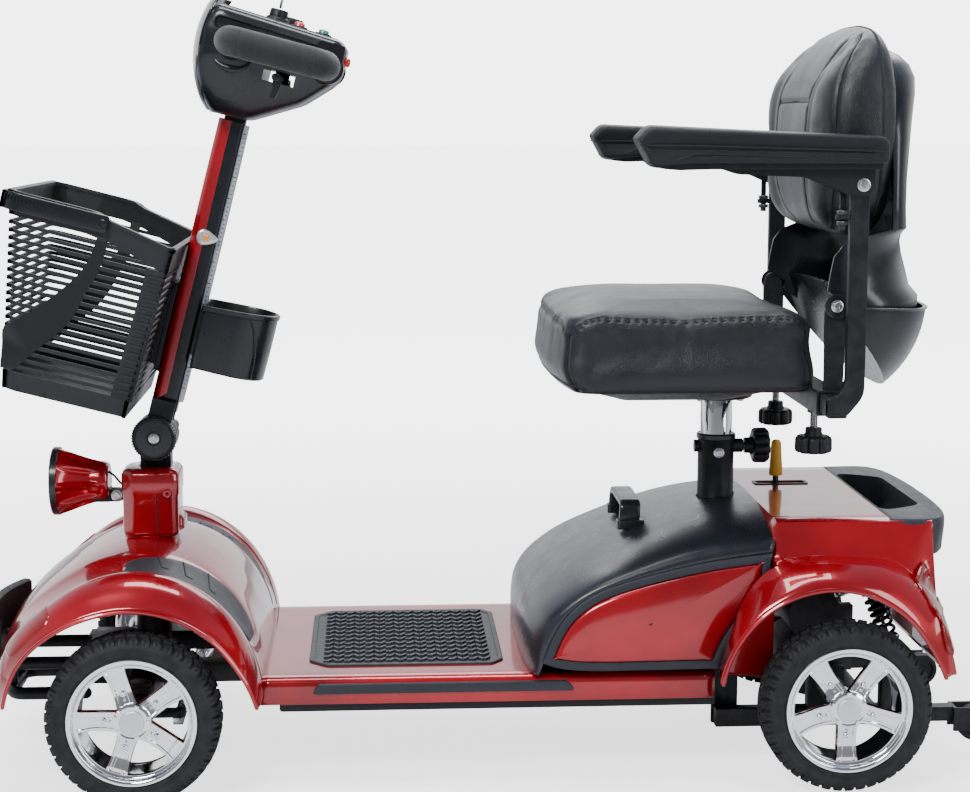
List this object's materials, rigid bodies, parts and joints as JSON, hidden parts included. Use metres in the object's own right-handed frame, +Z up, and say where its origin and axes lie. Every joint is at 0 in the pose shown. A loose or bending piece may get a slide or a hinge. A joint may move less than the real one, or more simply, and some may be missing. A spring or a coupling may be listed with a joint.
{
  "type": "mobility scooter",
  "caption": "Electric mobility scooter with a folding tiller, front basket, swivel seat with flip-up arms, footwell deck, battery box and sprung rear axle.",
  "frame": {"origin": "on the ground, below the middle of the whole scooter's length and width", "axes": "+X forward, +Y to the rider's left, +Z up"},
  "size_m": [1.26, 0.506, 0.9336],
  "materials": {
    "black_paint": "satin powder coat",
    "red_paint": "glossy metallic red",
    "grey_plastic": "fine grained grey",
    "black_plastic": "fine grained black",
    "lens": "smoked red lens",
    "bumper_rubber": "matte",
    "mat_rubber": "ribbed",
    "battery_case": "plain",
    "bright_steel": "brushed",
    "chrome": "polished",
    "tyre": "treaded",
    "foam": "soft foam",
    "leather": "soft grained",
    "cast": "cast and painted",
    "horn_red": "gloss",
    "light_green": "gloss"
  },
  "bodies": {
    "chassis": {"main_frame": "black_paint", "front_shroud": "red_paint", "grey_trims": "grey_plastic", "corner_lenses": "lens", "front_bumper": "bumper_rubber", "floor_deck": "red_paint", "floor_mat": "mat_rubber", "power_pack": "battery_case", "battery_cover": "grey_plastic", "battery_side_panels": "red_paint", "battery_handle": "black_plastic", "rear_shroud": "red_paint", "rear_handle": "grey_plastic", "coil_springs": "bright_steel"},
    "rear_axle": {"swing_frame": "black_paint", "drive_unit": "cast"},
    "anti_tip": {"anti_tip_wheels": "bumper_rubber"},
    "freewheel": {"freewheel_lever": "black_plastic"},
    "front_left_wheel": {"front_left_tyre": "tyre", "front_left_rim": "chrome"},
    "front_right_wheel": {"front_right_tyre": "tyre", "front_right_rim": "chrome"},
    "rear_left_wheel": {"rear_left_tyre": "tyre", "rear_left_rim": "chrome"},
    "rear_right_wheel": {"rear_right_tyre": "tyre", "rear_right_rim": "chrome"},
    "steering": {"steering_shaft": "black_paint", "column_cover": "red_paint"},
    "lamp": {"headlight": "red_paint"},
    "left_hub": {"left_knuckle": "black_paint"},
    "right_hub": {"right_knuckle": "black_paint"},
    "track_rod": {"tie_rod": "bright_steel"},
    "tiller": {"stem_tube": "black_paint", "stem_cover": "red_paint", "basket_bracket": "black_plastic", "cup_holder": "black_plastic", "head_shell": "black_plastic", "handlebar": "black_paint", "grips": "foam"},
    "fold_clamp": {"fold_knob": "black_plastic"},
    "basket_body": {"basket": "black_plastic"},
    "bail": {"basket_bail": "black_plastic"},
    "throttle": {"throttle_lever": "black_plastic"},
    "key": {"ignition_key": "bright_steel"},
    "dial": {"speed_dial": "black_plastic"},
    "horn": {"horn_button": "horn_red"},
    "light": {"light_button": "light_green"},
    "post": {"seat_post": "chrome"},
    "post_clamp": {"post_knob": "black_plastic"},
    "seat": {"seat_base": "black_paint", "seat_cushion": "leather", "lower_seat_shell": "black_plastic"},
    "left_clamp": {"left_arm_knob": "black_plastic"},
    "right_clamp": {"right_arm_knob": "black_plastic"},
    "left_arm": {"left_arm_post": "black_paint"},
    "right_arm": {"right_arm_post": "black_paint"},
    "left_rest": {"left_armrest": "black_plastic"},
    "right_rest": {"right_armrest": "black_plastic"},
    "back": {"upper_seat_shell": "black_plastic", "back_cushion": "leather"}
  },
  "joints": [
    {"name": "steering_turn", "type": "hinge", "parent": "chassis", "child": "steering", "pos_m": [0.42, 0, 0.1025], "axis": [0, 0, 1], "range_deg": [-32, 32]},
    {"name": "left_kingpin", "type": "hinge", "parent": "chassis", "child": "left_hub", "pos_m": [0.42, 0.16, 0.1025], "axis": [0, 0, 1], "range_deg": [-32, 32]},
    {"name": "right_kingpin", "type": "hinge", "parent": "chassis", "child": "right_hub", "pos_m": [0.42, -0.16, 0.1025], "axis": [0, 0, 1], "range_deg": [-32, 32]},
    {"name": "tie_rod_pin", "type": "hinge", "parent": "left_hub", "child": "track_rod", "pos_m": [0.375, 0.16, 0.1025], "axis": [0, 0, 1], "range_deg": [-32, 32]},
    {"name": "front_left_wheel_spin", "type": "hinge", "parent": "left_hub", "child": "front_left_wheel", "pos_m": [0.42, 0.22, 0.1025], "axis": [0, 1, 0], "continuous": true},
    {"name": "front_right_wheel_spin", "type": "hinge", "parent": "right_hub", "child": "front_right_wheel", "pos_m": [0.42, -0.22, 0.1025], "axis": [0, 1, 0], "continuous": true},
    {"name": "rear_left_wheel_spin", "type": "hinge", "parent": "rear_axle", "child": "rear_left_wheel", "pos_m": [-0.418, 0.22, 0.1025], "axis": [0, 1, 0], "continuous": true},
    {"name": "rear_right_wheel_spin", "type": "hinge", "parent": "rear_axle", "child": "rear_right_wheel", "pos_m": [-0.418, -0.22, 0.1025], "axis": [0, 1, 0], "continuous": true},
    {"name": "rear_suspension", "type": "hinge", "parent": "chassis", "child": "rear_axle", "pos_m": [-0.295, 0, 0.0585], "axis": [0, 1, 0], "range_deg": [0, 4], "stiffness_Nm_per_rad": 900, "springref_deg": -14.32, "deforming": ["coil_springs"]},
    {"name": "anti_tip_spin", "type": "hinge", "parent": "rear_axle", "child": "anti_tip", "pos_m": [-0.608, 0, 0.045], "axis": [0, 1, 0], "continuous": true},
    {"name": "freewheel_turn", "type": "hinge", "parent": "rear_axle", "child": "freewheel", "pos_m": [-0.389, -0.06, 0.215], "axis": [0, 1, 0], "range_deg": [-10, 0]},
    {"name": "tiller_tilt", "type": "hinge", "parent": "steering", "child": "tiller", "pos_m": [0.412, 0, 0.399], "axis": [0, 1, 0], "range_deg": [-20, 10]},
    {"name": "fold_knob_turn", "type": "hinge", "parent": "steering", "child": "fold_clamp", "pos_m": [0.412, 0, 0.399], "axis": [0, 1, 0], "continuous": true},
    {"name": "headlight_tilt", "type": "hinge", "parent": "steering", "child": "lamp", "pos_m": [0.462, 0, 0.324], "axis": [0, 1, 0], "range_deg": [-15, 15]},
    {"name": "basket_lift", "type": "slide", "parent": "tiller", "child": "basket_body", "axis": [-0.2504, 0, 0.9681], "range_m": [0, 0.06]},
    {"name": "bail_raise", "type": "hinge", "parent": "basket_body", "child": "bail", "pos_m": [0.44784, 0, 0.67579], "axis": [0, 1, 0], "range_deg": [-80, 0]},
    {"name": "throttle_push", "type": "hinge", "parent": "tiller", "child": "throttle", "pos_m": [0.24835, 0, 0.84008], "axis": [-0.2504, 0, 0.9681], "range_deg": [-8, 8], "stiffness_Nm_per_rad": 2},
    {"name": "key_turn", "type": "hinge", "parent": "tiller", "child": "key", "pos_m": [0.25094, 0.03, 0.90995], "axis": [-0.2504, 0, 0.9681], "range_deg": [0, 60]},
    {"name": "dial_turn", "type": "hinge", "parent": "tiller", "child": "dial", "pos_m": [0.23351, -0.012, 0.90544], "axis": [-0.2504, 0, 0.9681], "range_deg": [-135, 135]},
    {"name": "horn_press", "type": "slide", "parent": "tiller", "child": "horn", "axis": [-0.2504, 0, 0.9681], "range_m": [-0.003, 0], "stiffness_N_per_m": 300, "springref_m": 0.002},
    {"name": "light_press", "type": "slide", "parent": "tiller", "child": "light", "axis": [-0.2504, 0, 0.9681], "range_m": [-0.003, 0], "stiffness_N_per_m": 300, "springref_m": 0.002},
    {"name": "seat_height", "type": "slide", "parent": "chassis", "child": "post", "axis": [0, 0, 1], "range_m": [0, 0.06]},
    {"name": "post_knob_turn", "type": "hinge", "parent": "chassis", "child": "post_clamp", "pos_m": [-0.344, 0, 0.379], "axis": [1, 0, 0], "continuous": true},
    {"name": "seat_swivel", "type": "hinge", "parent": "post", "child": "seat", "pos_m": [-0.298, 0, 0.48], "axis": [0, 0, 1], "continuous": true},
    {"name": "left_arm_knob_turn", "type": "hinge", "parent": "seat", "child": "left_clamp", "pos_m": [-0.398, 0.112, 0.48], "axis": [0, 0, 1], "continuous": true},
    {"name": "left_arm_width", "type": "slide", "parent": "seat", "child": "left_arm", "axis": [0, 1, 0], "range_m": [0, 0.04]},
    {"name": "left_armrest_flip", "type": "hinge", "parent": "left_arm", "child": "left_rest", "pos_m": [-0.42, 0.225, 0.718], "axis": [0, 1, 0], "range_deg": [-90, 0]},
    {"name": "right_arm_knob_turn", "type": "hinge", "parent": "seat", "child": "right_clamp", "pos_m": [-0.398, -0.112, 0.48], "axis": [0, 0, 1], "continuous": true},
    {"name": "right_arm_width", "type": "slide", "parent": "seat", "child": "right_arm", "axis": [0, -1, 0], "range_m": [0, 0.04]},
    {"name": "right_armrest_flip", "type": "hinge", "parent": "right_arm", "child": "right_rest", "pos_m": [-0.42, -0.225, 0.718], "axis": [0, 1, 0], "range_deg": [-90, 0]},
    {"name": "back_fold", "type": "hinge", "parent": "seat", "child": "back", "pos_m": [-0.405, 0, 0.575], "axis": [0, 1, 0], "range_deg": [0, 70]}
  ],
  "couplings": [
    {"joint": "left_kingpin", "follows": "steering_turn", "ratio": 1},
    {"joint": "right_kingpin", "follows": "steering_turn", "ratio": 1},
    {"joint": "tie_rod_pin", "follows": "steering_turn", "ratio": -1}
  ]
}
